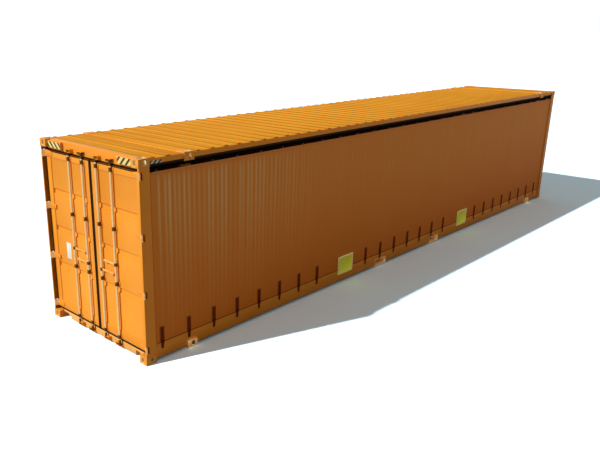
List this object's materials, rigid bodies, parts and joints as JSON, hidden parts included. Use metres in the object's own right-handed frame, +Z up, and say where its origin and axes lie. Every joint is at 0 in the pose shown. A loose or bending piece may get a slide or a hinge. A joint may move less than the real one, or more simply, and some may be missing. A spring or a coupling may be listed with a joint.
{
  "type": "curtain-side shipping container",
  "caption": "Long high-cube curtain-side shipping container with double end doors, lock rods, strapped side curtains, ribbed roof and hollow castings.",
  "frame": {"origin": "middle of the underside, on the plane of the bottom castings' lower faces", "axes": "+X along the length from the door end to the front wall, +Y to the left side, +Z up"},
  "size_m": [13.716, 2.438, 2.896],
  "materials": {
    "orange_paint": "semi-gloss enamel over steel",
    "galvanised_steel": "hot-dip galvanised",
    "seal_rubber": "matt EPDM",
    "curtain_fabric": "PVC-coated polyester",
    "strap_webbing": "woven polyester webbing",
    "plywood": "sealed plywood",
    "lime_paint": "matt safety paint",
    "white_paint": "plain enamel",
    "track_aluminium": "dull anodised"
  },
  "bodies": {
    "frame": {"corner_castings": "orange_paint", "inner_castings": "orange_paint", "left_bottom_rail": "orange_paint", "right_bottom_rail": "orange_paint", "cross_members": "orange_paint", "fork_pockets": "orange_paint", "floor_boards": "plywood", "door_sill": "orange_paint", "door_header": "orange_paint", "front_sill": "orange_paint", "front_header": "orange_paint", "left_door_post": "orange_paint", "right_door_post": "orange_paint", "left_front_post": "orange_paint", "right_front_post": "orange_paint", "hinge_pins": "galvanised_steel", "stacking_posts": "orange_paint", "left_top_rail": "orange_paint", "right_top_rail": "orange_paint", "curtain_tracks": "track_aluminium", "curtain_hangers": "galvanised_steel", "left_curtain": "curtain_fabric", "right_curtain": "curtain_fabric", "curtain_straps": "strap_webbing", "lift_pads": "lime_paint", "roof_panel": "orange_paint", "roof_bows": "orange_paint", "front_wall": "orange_paint", "cam_keepers": "galvanised_steel"},
    "left_door": {"left_leaf": "orange_paint", "left_seal": "seal_rubber", "left_hinges": "galvanised_steel", "left_rod_brackets": "galvanised_steel", "document_plate": "white_paint"},
    "right_door": {"right_leaf": "orange_paint", "right_seal": "seal_rubber", "right_hinges": "galvanised_steel", "right_rod_brackets": "galvanised_steel"},
    "left_outer_rod": {"left_outer_lock_rod": "galvanised_steel", "left_outer_handle": "galvanised_steel"},
    "left_inner_rod": {"left_inner_lock_rod": "galvanised_steel", "left_inner_handle": "galvanised_steel"},
    "right_outer_rod": {"right_outer_lock_rod": "galvanised_steel", "right_outer_handle": "galvanised_steel"},
    "right_inner_rod": {"right_inner_lock_rod": "galvanised_steel", "right_inner_handle": "galvanised_steel"}
  },
  "joints": [
    {"name": "left_door_swing", "type": "hinge", "parent": "frame", "child": "left_door", "pos_m": [-6.84, 1.201, 0.225], "axis": [0, 0, -1], "range_deg": [0, 270]},
    {"name": "right_door_swing", "type": "hinge", "parent": "frame", "child": "right_door", "pos_m": [-6.84, -1.201, 0.225], "axis": [0, 0, 1], "range_deg": [0, 270]},
    {"name": "left_outer_rod_turn", "type": "hinge", "parent": "left_door", "child": "left_outer_rod", "pos_m": [-6.81, 0.526, 1.31], "axis": [0, 0, 1], "range_deg": [-120, 0]},
    {"name": "left_inner_rod_turn", "type": "hinge", "parent": "left_door", "child": "left_inner_rod", "pos_m": [-6.81, 0.175, 1.155], "axis": [0, 0, -1], "range_deg": [-120, 0]},
    {"name": "right_outer_rod_turn", "type": "hinge", "parent": "right_door", "child": "right_outer_rod", "pos_m": [-6.81, -0.526, 1.31], "axis": [0, 0, -1], "range_deg": [-120, 0]},
    {"name": "right_inner_rod_turn", "type": "hinge", "parent": "right_door", "child": "right_inner_rod", "pos_m": [-6.81, -0.175, 1.155], "axis": [0, 0, 1], "range_deg": [-120, 0]}
  ]
}
